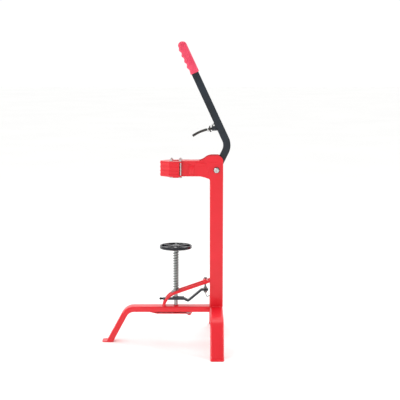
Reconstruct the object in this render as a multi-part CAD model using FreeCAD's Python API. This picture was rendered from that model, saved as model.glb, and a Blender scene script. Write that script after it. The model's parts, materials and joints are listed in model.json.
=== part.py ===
import FreeCAD, Part
import math
import os
from FreeCAD import Vector

# Floor-standing bottle corker. Millimetres, +z up, floor at z = 0.
# While it is modelled, x = 0 is the column's axis and the bottle stands on the -x side.
# +y is the left side of someone who stands in front of the bottle.

# ---------------------------------------------------------------- driving dimensions
CLEARANCE = 0.3  # between pieces that pass each other
RUNNING_GAP = 0.06  # radial play of a shaft in its hole
THREAD_GAP = 0.25  # radial play of a nut on a curved thread

# column: square tube on top of the legs
COLUMN_WIDTH = 45.0
COLUMN_WALL = 2.0
COLUMN_CORNER = 3.5

# legs: flat tube, one to the front and one to each side
LEG_WIDTH = 45.0
LEG_DEPTH = 20.0
LEG_WALL = 2.0
LEG_CORNER = 5.5
LEG_UNDERSIDE_Z = 105.0
LEG_BEND = 38.0
FRONT_KNEE = 306.0  # column axis to the front knee
REAR_KNEE = 185.0  # column axis to a side knee
LEG_SPREAD = 62.5  # knee to foot, level
FOOT_THICKNESS = 3.0
FOOT_TOE = 25.5  # from the foot's centre to its tip
FOOT_HEEL = 14.0
FOOT_CORNER = 9.0

# head
JAW_FLOOR_Z = 580.0
HEAD_INSIDE = 44.0  # height of the jaw pocket
HEAD_PLATE = 4.0
SIDE_PLATE_DROP = 3.0  # side plate below the jaw floor
SIDE_PLATE_RISE = 49.0  # side plate's low top above the jaw floor
SIDE_PLATE_PEAK = 67.0  # side plate's high top above the jaw floor
BOTTLE_REACH = 139.0  # column axis to the bottle's axis
JAW_SIZE = 18.0
JAW_OPENING = 10.0
CORK_NOTCH = 8.5
JAW_GAP = 0.3
HOUSING_WALL = 2.8
HOUSING_NOSE = 26.0  # solid front of the housing, ahead of the pocket's corner
NOSE_HALF_WIDTH = 6.0
TIE_BOLT = 6.0
TIE_NUT_FLATS = 10.0
TIE_NUT_HEIGHT = 5.0
TIE_BESIDE_COLUMN = 6.4  # bolt's axis to the column's side face, at least
TIE_FROM_EDGE = 7.0  # bolt's axis to the housing's side
CUP_OUTER = 20.5
CUP_INNER = 16.0
CUP_DEPTH = 5.0
CORK_EXIT = 9.0
CORK_ENTRY = 14.0

# lever and plunger
PIVOT_RISE = 17.5  # pivot above the jaw floor
PIVOT_BOLT = 10.0
LEVER_TURN = 64.0  # degrees, the whole pull of the lever
LEVER_WIDTH = 25.0
LEVER_THICKNESS = 8.0
LEVER_SHANK = 91.8  # pivot to the bend
LEVER_SHANK_LEAN = 26.0  # degrees from upright, to the rear
LEVER_ARM = 385.0  # bend to the grip's tip
LEVER_ARM_LEAN = 24.9  # degrees from upright, to the front
LEVER_BEND = 47.0
CAM_CHEEK = 6.0
CAM_BASE = 30.0  # pivot to the roller's centre with the jaws open
ROLLER_RADIUS = 8.0
ROLLER_PIN = 8.0
GRIP_LENGTH = 115.0
GRIP_WIDTH = 30.0
GRIP_THICKNESS = 21.0
GRIP_BUMP = 1.8
GRIP_BUMPS = 4
PLUNGER_BOLT = 9.0
PLUNGER_TIP = 35.2  # degrees from upright, about the pivot
LUG_START_AHEAD = 3.7  # degrees ahead of the lever arm, like the next four
PLUNGER_ROOT_AHEAD = 7.9
LUG_END_AHEAD = 12.3
WING_NUT_AHEAD = 15.0
LOCK_NUT_AHEAD = 18.5
LUG_WALL = 3.2
LUG_EAR_THICKNESS = 6.0
LUG_SCREW_AHEAD = 23.8  # from the lever arm's middle
LUG_SCREW_RISE = 11.5  # above the plunger's arc
LUG_SCREW = 4.0
LUG_SCREW_FLATS = 7.0
LUG_SCREW_HEAD = 3.0
THREAD_PITCH = 1.5

# bottle platform
PLATFORM_TOP_Z = 336.0
PLATFORM_RADIUS = 55.0
PLATFORM_RIM = 5.5
PLATFORM_HEIGHT = 10.0
PLATFORM_FLOOR = 3.5
PLATFORM_HUB = 15.5
PLATFORM_RIBS = 6
PLATFORM_TRAVEL = 88.0
ROD_DIAMETER = 12.0
ROD_END_Z = 97.0
SPRING_MEAN = 8.4
SPRING_WIRE = 2.0
SPRING_TURNS = 16

# arch and catch
ARCH_BAR = 10.0
ARCH_SPACING = 30.0
ARCH_TOP_Z = 213.4
ARCH_BEND = 59.0
ARCH_CORNER_Z = 161.0
ARCH_CORNER_AHEAD = 33.5  # ahead of the platform rod
ARCH_FOOT_AHEAD = 42.4
GUIDE_PLATE = 4.0
CATCH_Z = 149.0
CATCH_WIDTH = 18.0
CATCH_THICKNESS = 7.0
CATCH_PAD = 9.0
CATCH_HOLE_PLAY = 0.9  # to each side of the rod
CATCH_SLOT_PLAY = 2.8  # along the strip, for its tilt
HANGER_OUT = 15.0  # column's front face to the hanger bolt
HANGER_BOLT = 6.0
STIFFENER_DROP = 6.0
STIFFENER_PLATE = 2.5

# ---------------------------------------------------------------- derived places
LEG_TOP_Z = LEG_UNDERSIDE_Z + LEG_DEPTH
COLUMN_HALF = COLUMN_WIDTH / 2
INSIDE_HALF = COLUMN_HALF - COLUMN_WALL
JAW_CEILING_Z = JAW_FLOOR_Z + HEAD_INSIDE
COVER_TOP_Z = JAW_CEILING_Z + HEAD_PLATE
BASE_BOTTOM_Z = JAW_FLOOR_Z - HEAD_PLATE
HEAD_JOINT_Z = JAW_FLOOR_Z - 19.0
ROD_X = -BOTTLE_REACH
PIVOT = Vector(0, 0, JAW_FLOOR_Z + PIVOT_RISE)
PUSHER_TRAVEL = JAW_OPENING * math.sqrt(2)
JAW_DIAGONAL = JAW_SIZE * math.sqrt(2)
POCKET_HALF = (2 * JAW_SIZE + JAW_OPENING) / math.sqrt(2) + 2 * JAW_GAP
HOUSING_HALF = max(POCKET_HALF + HOUSING_WALL, COLUMN_HALF + TIE_BESIDE_COLUMN + TIE_FROM_EDGE)
SIDE_PLATE_REACH = BOTTLE_REACH - (JAW_DIAGONAL + PUSHER_TRAVEL) / 2 - JAW_GAP
HOUSING_FRONT_X = ROD_X - JAW_DIAGONAL - HOUSING_NOSE
HOUSING_REAR_X = -SIDE_PLATE_REACH - TIE_BOLT - 1.2
REAR_TIE = Vector(-SIDE_PLATE_REACH - TIE_BOLT / 2 - 0.6, HOUSING_HALF - TIE_FROM_EDGE, 0)
FRONT_TIE = Vector(ROD_X - 14.5, HOUSING_HALF - 11.0, 0)
PLUNGER_RADIUS = BOTTLE_REACH + 1.0
ARM_RUN = LEVER_SHANK * math.cos(math.radians(LEVER_SHANK_LEAN + LEVER_ARM_LEAN))
ARM_TO_ARC = math.sqrt(ARM_RUN ** 2 - LEVER_SHANK ** 2 + PLUNGER_RADIUS ** 2) - ARM_RUN
ARM_AT_ARC_X = (LEVER_SHANK * math.sin(math.radians(LEVER_SHANK_LEAN))
                - ARM_TO_ARC * math.sin(math.radians(LEVER_ARM_LEAN)))
ARM_AT_ARC = -math.degrees(math.asin(ARM_AT_ARC_X / PLUNGER_RADIUS))
LUG_START = ARM_AT_ARC + LUG_START_AHEAD
PLUNGER_ROOT = ARM_AT_ARC + PLUNGER_ROOT_AHEAD
LUG_END = ARM_AT_ARC + LUG_END_AHEAD
WING_NUT_AT = ARM_AT_ARC + WING_NUT_AHEAD
LOCK_NUT_AT = ARM_AT_ARC + LOCK_NUT_AHEAD
SLOT_HALF = LEVER_THICKNESS / 2 + CAM_CHEEK + 0.5
GUIDE_SLOPE = (ARCH_TOP_Z - ARCH_CORNER_Z) / (BOTTLE_REACH + ARCH_CORNER_AHEAD - COLUMN_HALF)
GUIDE_TOP_Z = ARCH_TOP_Z - GUIDE_SLOPE * (BOTTLE_REACH - COLUMN_HALF) + 3.0
HANGER_X = -COLUMN_HALF - HANGER_OUT
HANGER_BAR_Z = ARCH_TOP_Z - GUIDE_SLOPE * HANGER_OUT
CATCH_END_Z = HANGER_BAR_Z - 27.0
UP = Vector(0, 0, 1)
ACROSS = Vector(0, 1, 0)


# ---------------------------------------------------------------- shape helpers
def block(x0, x1, y0, y1, z0, z1):
    """A rectangular block between two corners."""
    return Part.makeBox(x1 - x0, y1 - y0, z1 - z0, Vector(x0, y0, z0))


def round_bar(diameter, start, end):
    """A round bar between two points."""
    return Part.makeCylinder(diameter / 2, (end - start).Length, start, end - start)


def corner_arc(before, corner, after, radius):
    """The start, middle and end of the arc that rounds a corner."""
    back = (before - corner).normalize()
    ahead = (after - corner).normalize()
    half = back.getAngle(ahead) / 2
    reach = radius / math.tan(half)
    middle = corner + (back + ahead).normalize() * (radius / math.sin(half) - radius)
    return corner + back * reach, middle, corner + ahead * reach


def rounded_path(points, radius):
    """An open wire through the points, with its inner corners rounded."""
    edges = []
    here = points[0]
    for before, corner, after in zip(points, points[1:], points[2:]):
        start, middle, end = corner_arc(before, corner, after, radius)
        edges.append(Part.makeLine(here, start))
        edges.append(Part.Arc(start, middle, end).toShape())
        here = end
    edges.append(Part.makeLine(here, points[-1]))
    return Part.Wire(edges)


def rounded_loop(points, radius):
    """A closed wire through the points, with every corner rounded."""
    count = len(points)
    arcs = []
    for index, corner in enumerate(points):
        arcs.append(corner_arc(points[index - 1], corner, points[(index + 1) % count], radius))
    edges = []
    for index, (start, middle, end) in enumerate(arcs):
        edges.append(Part.Arc(start, middle, end).toShape())
        following = arcs[(index + 1) % count][0]
        if (following - end).Length > 1e-4:
            edges.append(Part.makeLine(end, following))
    return Part.Wire(edges)


def polygon(points):
    """A closed wire of straight edges."""
    return Part.makePolygon(list(points) + [points[0]])


def slab(wire, depth):
    """The solid between a closed wire and its copy moved by depth."""
    return Part.Face(wire).extrude(depth)


def sweep(path, section):
    """A closed section carried along a path."""
    return path.makePipeShell([section], True, False)


def rectangle_section(centre, side, rise, width, height, corner):
    """A rounded rectangle about a point, from its two directions."""
    corners = []
    for across, up in ((-1, -1), (1, -1), (1, 1), (-1, 1)):
        corners.append(centre + side * (across * width / 2) + rise * (up * height / 2))
    return rounded_loop(corners, corner)


def hexagon(flats, height, base, axis=UP):
    """A hexagonal nut or head that stands on a point."""
    radius = flats / math.sqrt(3)
    points = []
    for index in range(6):
        angle = math.radians(60 * index)
        points.append(Vector(radius * math.cos(angle), radius * math.sin(angle), 0))
    body = slab(polygon(points), Vector(0, 0, height))
    crown = Part.makeSphere(height + radius * 1.35, Vector(0, 0, height - radius * 1.35 - height * 0.94))
    body = body.common(crown)
    body.Placement = FreeCAD.Placement(base, FreeCAD.Rotation(UP, axis))
    return body


def mirrored(shape):
    """The same piece on the other side of the middle plane."""
    return shape.mirror(Vector(0, 0, 0), ACROSS)


def side_outline(points, y):
    """Points given as (x, z) pairs, set at one y."""
    return [Vector(x, y, z) for x, z in points]


def about_pivot(radius, degrees):
    """The point at a radius from the pivot, at an angle from upright to the front."""
    angle = math.radians(degrees)
    return PIVOT + Vector(-math.sin(angle), 0, math.cos(angle)) * radius


def plunger_direction(degrees):
    """The direction in which the plunger runs at an angle about the pivot."""
    angle = math.radians(degrees)
    return Vector(-math.cos(angle), 0, -math.sin(angle))


def plunger_arc(radius, first, last):
    """A round bar that follows the plunger's arc between two angles."""
    rim = Part.makeCircle(radius, about_pivot(PLUNGER_RADIUS, first), plunger_direction(first))
    return Part.Face(Part.Wire(rim)).revolve(PIVOT, -ACROSS, last - first)


# ---------------------------------------------------------------- stand
def leg(run_start, knee, foot_centre):
    """A flat tube that runs level along -x, bends at the knee and slopes to the floor."""
    middle_z = LEG_UNDERSIDE_Z + LEG_DEPTH / 2
    slope = Vector(knee - foot_centre, 0, -middle_z)
    start = Vector(-run_start, 0, middle_z)
    corner = Vector(-knee, 0, middle_z)
    path = rounded_path([start, corner, corner + slope * 1.2], LEG_BEND)
    outer = sweep(path, rectangle_section(start, ACROSS, UP, LEG_WIDTH, LEG_DEPTH, LEG_CORNER))
    inner_width = LEG_WIDTH - 2 * LEG_WALL
    inner_depth = LEG_DEPTH - 2 * LEG_WALL
    inner = sweep(path, rectangle_section(start, ACROSS, UP, inner_width, inner_depth, LEG_CORNER - LEG_WALL))
    below = block(-foot_centre - 200, 0, -LEG_WIDTH, LEG_WIDTH, -200, FOOT_THICKNESS)
    return outer.cut(inner).cut(below)


def foot(foot_centre):
    """The plate under a leg, with a rounded toe."""
    half = LEG_WIDTH / 2
    toe = -foot_centre - FOOT_TOE
    heel = -foot_centre + FOOT_HEEL
    corners = [Vector(toe, -half, 0), Vector(heel, -half, 0), Vector(heel, half, 0), Vector(toe, half, 0)]
    plate = slab(rounded_loop(corners, FOOT_CORNER), Vector(0, 0, FOOT_THICKNESS))
    return plate


def turned(shape, degrees):
    """A piece turned about the column's axis."""
    return shape.rotate(Vector(0, 0, 0), UP, degrees)


def column():
    """The square tube, with its rear wall carried up into the head."""
    centre = Vector(0, 0, LEG_TOP_Z)
    height = HEAD_JOINT_Z - LEG_TOP_Z
    side = Vector(1, 0, 0)
    outer = slab(rectangle_section(centre, side, ACROSS, COLUMN_WIDTH, COLUMN_WIDTH, COLUMN_CORNER), UP * height)
    inside = 2 * INSIDE_HALF
    inner = slab(rectangle_section(centre, side, ACROSS, inside, inside, COLUMN_CORNER - COLUMN_WALL), UP * height)
    rear_wall = block(INSIDE_HALF, COLUMN_HALF, -INSIDE_HALF, INSIDE_HALF, HEAD_JOINT_Z - 6, PIVOT.z + 8)
    return outer.cut(inner).fuse(rear_wall).removeSplitter()


def column_cap():
    """The plate that closes the column under the lever."""
    half = INSIDE_HALF - 0.2
    corners = [Vector(x, y, HEAD_JOINT_Z - 12) for x, y in ((-half, -half), (half, -half), (half, half), (-half, half))]
    return slab(rounded_loop(corners, COLUMN_CORNER - COLUMN_WALL), UP * 2.5)


def side_plate():
    """The left plate of the head: low over the jaws, high at the pivot, with a formed panel."""
    top = JAW_FLOOR_Z + SIDE_PLATE_RISE
    peak = JAW_FLOOR_Z + SIDE_PLATE_PEAK
    bottom = JAW_FLOOR_Z - SIDE_PLATE_DROP
    front = -SIDE_PLATE_REACH
    rise_start = Vector(-63, INSIDE_HALF, top)
    rise_end = Vector(-15, INSIDE_HALF, peak)
    rise_middle = (rise_start + rise_end) * 0.5
    bulge = Vector(0, 0, (peak - top) / 8)
    crown = 20.0
    throat = 8.0
    ends = side_outline([(front, top), (COLUMN_HALF - crown, peak), (COLUMN_HALF, peak - crown),
                         (COLUMN_HALF, HEAD_JOINT_Z), (-COLUMN_HALF, HEAD_JOINT_Z),
                         (-COLUMN_HALF - throat, HEAD_JOINT_Z + throat), (-63, bottom), (front, bottom)], INSIDE_HALF)
    crown_middle = Vector(COLUMN_HALF - crown * (1 - math.sqrt(0.5)), INSIDE_HALF, peak - crown * (1 - math.sqrt(0.5)))
    throat_middle = Vector(-COLUMN_HALF - throat * (1 - math.sqrt(0.5)), INSIDE_HALF,
                           HEAD_JOINT_Z + throat * math.sqrt(0.5))
    belly_middle = (ends[5] + ends[6]) * 0.5 + Vector(0, 0, 1.3)
    edges = [
        Part.makeLine(ends[0], rise_start),
        Part.Arc(rise_start, (rise_start + rise_middle) * 0.5 - bulge, rise_middle).toShape(),
        Part.Arc(rise_middle, (rise_middle + rise_end) * 0.5 + bulge, rise_end).toShape(),
        Part.makeLine(rise_end, ends[1]),
        Part.Arc(ends[1], crown_middle, ends[2]).toShape(),
        Part.makeLine(ends[2], ends[3]),
        Part.makeLine(ends[3], ends[4]),
        Part.Arc(ends[4], throat_middle, ends[5]).toShape(),
        Part.Arc(ends[5], belly_middle, ends[6]).toShape(),
        Part.makeLine(ends[6], ends[7]),
        Part.makeLine(ends[7], ends[0]),
    ]
    plate = slab(Part.Wire(edges), ACROSS * COLUMN_WALL)
    panel = block(-95, -76, COLUMN_HALF, COLUMN_HALF + 0.8, JAW_FLOOR_Z + 4, JAW_FLOOR_Z + 34)
    bead = block(-72, -38, COLUMN_HALF, COLUMN_HALF + 0.8, JAW_FLOOR_Z + 37, JAW_FLOOR_Z + 43)
    hole = round_bar(PIVOT_BOLT + 2 * RUNNING_GAP, PIVOT, PIVOT + ACROSS * COLUMN_WIDTH)
    return plate.fuse(panel).fuse(bead).removeSplitter().cut(hole)


def housing_outline(z, rear_x, half):
    """The plan of the jaw housing, with its 45 degree nose."""
    shoulder = HOUSING_FRONT_X + half - NOSE_HALF_WIDTH
    return [Vector(HOUSING_FRONT_X, -NOSE_HALF_WIDTH, z), Vector(shoulder, -half, z), Vector(rear_x, -half, z),
            Vector(rear_x, half, z), Vector(shoulder, half, z), Vector(HOUSING_FRONT_X, NOSE_HALF_WIDTH, z)]


def tie_places(z):
    """The four tie bolts, at one height."""
    places = []
    for place in (FRONT_TIE, REAR_TIE):
        for side in (-1, 1):
            places.append(Vector(place.x, side * place.y, z))
    return places


def tie_holes(z, height):
    """Clearance holes for the four tie bolts."""
    holes = [Part.makeCylinder(TIE_BOLT / 2 + 0.2, height, place) for place in tie_places(z)]
    return Part.makeCompound(holes)


def jaw_housing():
    """The body around the jaws: a V pocket, open to the rear."""
    body = slab(polygon(housing_outline(JAW_FLOOR_Z, HOUSING_REAR_X, HOUSING_HALF)), UP * HEAD_INSIDE)
    corner = ROD_X - (JAW_SIZE + JAW_GAP / 2) * math.sqrt(2)
    rear = HOUSING_REAR_X + 1
    widest = corner + POCKET_HALF
    pocket = slab(polygon([Vector(corner, 0, JAW_FLOOR_Z), Vector(widest, -POCKET_HALF, JAW_FLOOR_Z),
                           Vector(rear, -POCKET_HALF, JAW_FLOOR_Z), Vector(rear, POCKET_HALF, JAW_FLOOR_Z),
                           Vector(widest, POCKET_HALF, JAW_FLOOR_Z)]), UP * HEAD_INSIDE)
    return body.cut(pocket).cut(tie_holes(JAW_FLOOR_Z, HEAD_INSIDE))


def head_plate(z):
    """A flat plate over or under the jaws, with a tongue between the side plates."""
    front = slab(polygon(housing_outline(z, -SIDE_PLATE_REACH - 0.1, HOUSING_HALF)), UP * HEAD_PLATE)
    tongue = block(-SIDE_PLATE_REACH - 0.1, -58, -INSIDE_HALF, INSIDE_HALF, z, z + HEAD_PLATE)
    return front.fuse(tongue).removeSplitter().cut(tie_holes(z, HEAD_PLATE))


def top_cover():
    """The plate over the jaws, with the slot in which the cork is placed."""
    entry = block(ROD_X, ROD_X + PUSHER_TRAVEL / 2, -CORK_ENTRY, CORK_ENTRY, JAW_CEILING_Z, COVER_TOP_Z)
    for x in (ROD_X, ROD_X + PUSHER_TRAVEL / 2):
        entry = entry.fuse(Part.makeCylinder(CORK_ENTRY, HEAD_PLATE, Vector(x, 0, JAW_CEILING_Z)))
    return head_plate(JAW_CEILING_Z).cut(entry)


def base_plate():
    """The plate under the jaws, with the cork's way out."""
    return head_plate(BASE_BOTTOM_Z).cut(Part.makeCylinder(CORK_EXIT, HEAD_PLATE, Vector(ROD_X, 0, BASE_BOTTOM_Z)))


def bottle_cup():
    """The collar that centres the bottle's mouth."""
    base = Vector(ROD_X, 0, BASE_BOTTOM_Z - CUP_DEPTH)
    ring = Part.makeCylinder(CUP_OUTER, CUP_DEPTH, base).cut(Part.makeCylinder(CUP_INNER, CUP_DEPTH, base))
    return ring


def tie_bolts():
    """Four bolts through the head, with their heads below."""
    bolts = []
    for place in tie_places(BASE_BOTTOM_Z):
        shank = Part.makeCylinder(TIE_BOLT / 2, COVER_TOP_Z - BASE_BOTTOM_Z + TIE_NUT_HEIGHT + 2, place)
        head = hexagon(TIE_NUT_FLATS, 4, place - UP * 4)
        bolts.append(shank.fuse(head))
    return Part.makeCompound(bolts)


def tie_nuts():
    """Four nuts on top of the head."""
    nuts = []
    for place in tie_places(COVER_TOP_Z):
        nut = hexagon(TIE_NUT_FLATS, TIE_NUT_HEIGHT, place)
        nuts.append(nut.cut(Part.makeCylinder(TIE_BOLT / 2, TIE_NUT_HEIGHT + 1, place)))
    return Part.makeCompound(nuts)


def pivot_bolt():
    """The lever's bolt, with its domed head on the right side."""
    start = PIVOT - ACROSS * (COLUMN_HALF + 2)
    shank = round_bar(PIVOT_BOLT, start, PIVOT + ACROSS * (COLUMN_HALF + 12))
    head = hexagon(16, 6.5, start, -ACROSS)
    return shank.fuse(head)


def pivot_nut():
    """The nut on the left side."""
    base = PIVOT + ACROSS * (COLUMN_HALF + 2)
    nut = hexagon(16, 8, base, ACROSS)
    return nut.cut(round_bar(PIVOT_BOLT, base, base + ACROSS * 12))


def pivot_washers():
    """A washer under the bolt's head and one under its nut."""
    washers = []
    for side in (-1, 1):
        start = PIVOT + ACROSS * (side * COLUMN_HALF)
        end = start + ACROSS * (side * 2)
        washers.append(round_bar(20, start, end).cut(round_bar(PIVOT_BOLT, start, end)))
    return Part.makeCompound(washers)


def pivot_spacers():
    """The sleeves that keep the lever in the middle of the head."""
    sleeves = []
    inner = LEVER_THICKNESS / 2 + CAM_CHEEK + CLEARANCE
    for side in (-1, 1):
        start = PIVOT + ACROSS * (side * inner)
        end = PIVOT + ACROSS * (side * INSIDE_HALF)
        sleeves.append(round_bar(16, start, end).cut(round_bar(PIVOT_BOLT, start, end)))
    return Part.makeCompound(sleeves)


# ---------------------------------------------------------------- jaws
def jaw(toward, attached):
    """One closed jaw, whose diagonal points toward an angle; an attached one meets its seat."""
    inset = JAW_GAP / 2
    outer = JAW_SIZE + (inset if attached else -inset)
    bottom = JAW_FLOOR_Z + CLEARANCE
    body = block(inset, outer, inset, outer, bottom, JAW_CEILING_Z - CLEARANCE)
    body = body.cut(Part.makeCylinder(CORK_NOTCH, HEAD_INSIDE, Vector(0, 0, JAW_FLOOR_Z)))
    body = body.rotate(Vector(0, 0, 0), UP, toward - 45)
    body.translate(Vector(ROD_X, 0, 0))
    return body


def open_jaw(toward, attached, opening):
    """A jaw moved from closed to where it lies with the jaws open."""
    shape = jaw(toward, attached)
    shape.translate(opening)
    return shape


def pusher():
    """The slide behind the jaws: a V in front, a yoke for the roller behind."""
    half = INSIDE_HALF - CLEARANCE
    apex = ROD_X + (JAW_SIZE + JAW_OPENING + JAW_GAP / 2) * math.sqrt(2)
    rear = -CAM_BASE + 10
    slot_front = -CAM_BASE - ROLLER_RADIUS - 1
    z = JAW_FLOOR_Z + CLEARANCE
    body = slab(polygon([Vector(apex, 0, z), Vector(apex - half, half, z), Vector(rear, half, z),
                         Vector(rear, SLOT_HALF, z), Vector(slot_front, SLOT_HALF, z),
                         Vector(slot_front, -SLOT_HALF, z), Vector(rear, -SLOT_HALF, z),
                         Vector(rear, -half, z), Vector(apex - half, -half, z)]), UP * (HEAD_INSIDE - 2 * CLEARANCE))
    roller_centre = PIVOT - Vector(CAM_BASE, 0, 0)
    return body.cut(round_bar(ROLLER_PIN, roller_centre - ACROSS * half, roller_centre + ACROSS * half))


def roller_pin():
    """The pin across the yoke."""
    centre = PIVOT - Vector(CAM_BASE, 0, 0)
    half = INSIDE_HALF - 2 * CLEARANCE
    return round_bar(ROLLER_PIN, centre - ACROSS * half, centre + ACROSS * half)


def cam_roller():
    """The roller that the cam bears on."""
    centre = PIVOT - Vector(CAM_BASE, 0, 0)
    start = centre - ACROSS * (SLOT_HALF - CLEARANCE)
    end = centre + ACROSS * (SLOT_HALF - CLEARANCE)
    return round_bar(2 * ROLLER_RADIUS, start, end).cut(round_bar(ROLLER_PIN + 2 * RUNNING_GAP, start, end))


# ---------------------------------------------------------------- lever and plunger
def lever_points():
    """The lever's centre line: pivot, bend and end."""
    shank = math.radians(LEVER_SHANK_LEAN)
    arm = math.radians(LEVER_ARM_LEAN)
    bend = PIVOT + Vector(math.sin(shank), 0, math.cos(shank)) * LEVER_SHANK
    along = Vector(-math.sin(arm), 0, math.cos(arm))
    return PIVOT, bend, bend + along * LEVER_ARM, along


def lever_arm():
    """The flat bar, bent once, round at the pivot."""
    start, bend, tip, along = lever_points()
    end = tip - along * 9
    path = rounded_path([start, bend, end], LEVER_BEND)
    side = (bend - start).cross(ACROSS).normalize()
    section = rectangle_section(start, side, ACROSS, LEVER_WIDTH, LEVER_THICKNESS, 1.0)
    bar = sweep(path, section)
    half = ACROSS * (LEVER_THICKNESS / 2)
    eye = round_bar(LEVER_WIDTH, start - half, start + half)
    hole = round_bar(PIVOT_BOLT + 2 * RUNNING_GAP, start - half, start + half)
    return bar.fuse(eye).cut(hole)


def cam_profile(clearance):
    """Points of the cam's edge, which drives the roller evenly as the lever turns."""
    rate = PUSHER_TRAVEL / math.radians(LEVER_TURN)
    points = []
    for step in range(13):
        angle = math.radians(-16 + (LEVER_TURN + 32) * step / 12)
        distance = CAM_BASE + rate * angle
        outward = Vector(-math.cos(angle), 0, math.sin(angle))
        along = Vector(math.sin(angle), 0, math.cos(angle))
        normal = (outward * distance - along * rate).normalize()
        points.append(PIVOT + outward * distance - normal * (ROLLER_RADIUS + clearance))
    return points


def cam_cheeks():
    """Two equal cams, one on each face of the lever."""
    points = cam_profile(CLEARANCE)
    edge = Part.BSplineCurve()
    edge.interpolate(points)
    behind = PIVOT + Vector(10, 0, -10)
    back = Part.Arc(points[-1], PIVOT + Vector(14, 0, 12), behind).toShape()
    under = Part.makeLine(behind, points[0])
    face = Part.Face(Part.Wire([edge.toShape(), back, under]))
    bore = round_bar(PIVOT_BOLT + 2 * RUNNING_GAP, PIVOT - ACROSS * 20, PIVOT + ACROSS * 20)
    cheeks = []
    for side in (-1, 1):
        cheek = face.extrude(ACROSS * (side * CAM_CHEEK))
        cheek.translate(ACROSS * (side * LEVER_THICKNESS / 2))
        cheeks.append(cheek.cut(bore))
    return Part.makeCompound(cheeks)


def grip():
    """The rubber grip: a round tip, four finger swells in front and a hollow for the bar."""
    start, bend, tip, along = lever_points()
    front = along.cross(ACROSS).normalize()
    if front.x > 0:
        front = front * -1
    half = GRIP_WIDTH / 2
    root = tip - along * GRIP_LENGTH

    def place(forward, up):
        return root + front * forward + along * up - ACROSS * (GRIP_THICKNESS / 2)

    straight = GRIP_LENGTH - half
    edges = [Part.makeLine(place(half, 0), place(-half, 0)), Part.makeLine(place(-half, 0), place(-half, straight)),
             Part.Arc(place(-half, straight), place(0, GRIP_LENGTH), place(half, straight)).toShape()]
    pitch = straight / GRIP_BUMPS
    for index in range(GRIP_BUMPS):
        high = straight - index * pitch
        edges.append(Part.Arc(place(half, high), place(half + GRIP_BUMP, high - pitch / 2),
                              place(half, high - pitch)).toShape())
    body = slab(Part.Wire(edges), ACROSS * GRIP_THICKNESS)
    rims = [edge for edge in body.Edges if abs(edge.BoundBox.YLength) < 0.01]
    rims = [edge for edge in rims if (edge.CenterOfMass - root).dot(along) > 1]
    body = body.makeFillet(5.0, rims)
    length = GRIP_LENGTH - 9
    section = rectangle_section(root, front, ACROSS, LEVER_WIDTH, LEVER_THICKNESS, 1.0)
    return body.cut(slab(section, along * length))


def plunger_lug():
    """The curved boss on the lever's front edge, with an ear above it."""
    start, bend, tip, along = lever_points()
    boss = plunger_arc(PLUNGER_BOLT / 2 + LUG_WALL, LUG_START, LUG_END)
    corners = [(-26.8, 0), (-30.8, 12), (-22.8, 18), (-7.8, 20), (0.2, -2)]
    arc_top_z = PIVOT.z + PLUNGER_RADIUS
    outline = side_outline([(ARM_AT_ARC_X + x, arc_top_z + z) for x, z in corners], -LUG_EAR_THICKNESS / 2)
    ear = slab(polygon(outline), ACROSS * LUG_EAR_THICKNESS)
    body = boss.fuse(ear)
    front = along.cross(ACROSS).normalize()
    if front.x > 0:
        front = front * -1
    beyond = rectangle_section(bend - along * 60, front, ACROSS, LEVER_WIDTH, 40, 1.0)
    bore = plunger_arc(PLUNGER_BOLT / 2 + RUNNING_GAP, PLUNGER_ROOT - 1.4, LUG_END + 2)
    screw = lug_screw_shank()
    return body.cut(slab(beyond, along * 260)).cut(bore).cut(screw)


def lug_screw_place():
    """The centre of the screw in the lug's ear."""
    return PIVOT + Vector(ARM_AT_ARC_X - LUG_SCREW_AHEAD, 0, PLUNGER_RADIUS + LUG_SCREW_RISE)


def lug_screw_shank():
    """The shank of the screw, across the ear."""
    centre = lug_screw_place()
    half = ACROSS * (LUG_EAR_THICKNESS / 2)
    return round_bar(LUG_SCREW, centre - half, centre + half)


def lug_screw():
    """The small zinc screw across the lug's ear."""
    centre = lug_screw_place()
    half = ACROSS * (LUG_EAR_THICKNESS / 2)
    head = hexagon(LUG_SCREW_FLATS, LUG_SCREW_HEAD, centre - half, -ACROSS)
    nut = hexagon(LUG_SCREW_FLATS, LUG_SCREW_HEAD, centre + half, ACROSS)
    return lug_screw_shank().fuse(head).fuse(nut)


def plunger_rod():
    """The curved threaded rod that drives the cork down."""
    return plunger_arc(PLUNGER_BOLT / 2, PLUNGER_ROOT, PLUNGER_TIP)


def plunger_lock_nut():
    """The zinc nut and washer on the rod."""
    along = plunger_direction(LOCK_NUT_AT)
    centre = about_pivot(PLUNGER_RADIUS, LOCK_NUT_AT)
    nut = hexagon(13, 4, centre - along * 2, along)
    washer = Part.makeCylinder(8.5, 1.2, centre - along * 3.2, along)
    return nut.fuse(washer).cut(plunger_arc(PLUNGER_BOLT / 2, LOCK_NUT_AT - 4, LOCK_NUT_AT + 4))


def wing_nut():
    """The wing nut that holds the rod against the lug."""
    along = plunger_direction(WING_NUT_AT)
    centre = about_pivot(PLUNGER_RADIUS, WING_NUT_AT)
    outward = ACROSS.cross(along).normalize()
    hub = Part.makeCone(6.8, 5.6, 5.6, centre - along * 2.8, along)
    body = hub
    for side in (-1, 1):
        base = centre + outward * (side * 5)
        ear = outward * (side * 5)
        wing = polygon([base - along * 2.4, base + ear * 0.9 - along * 4.6, base + ear * 1.3 - along * 1.5,
                        base + ear * 0.9 + along * 1.4, base + along * 2.4])
        plate = slab(wing, ACROSS * 2.6)
        plate.translate(ACROSS * -1.3)
        body = body.fuse(plate)
    bore = Part.makeCylinder(PLUNGER_BOLT / 2 + THREAD_GAP, 20, centre - along * 10, along)
    return body.cut(bore)


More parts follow.
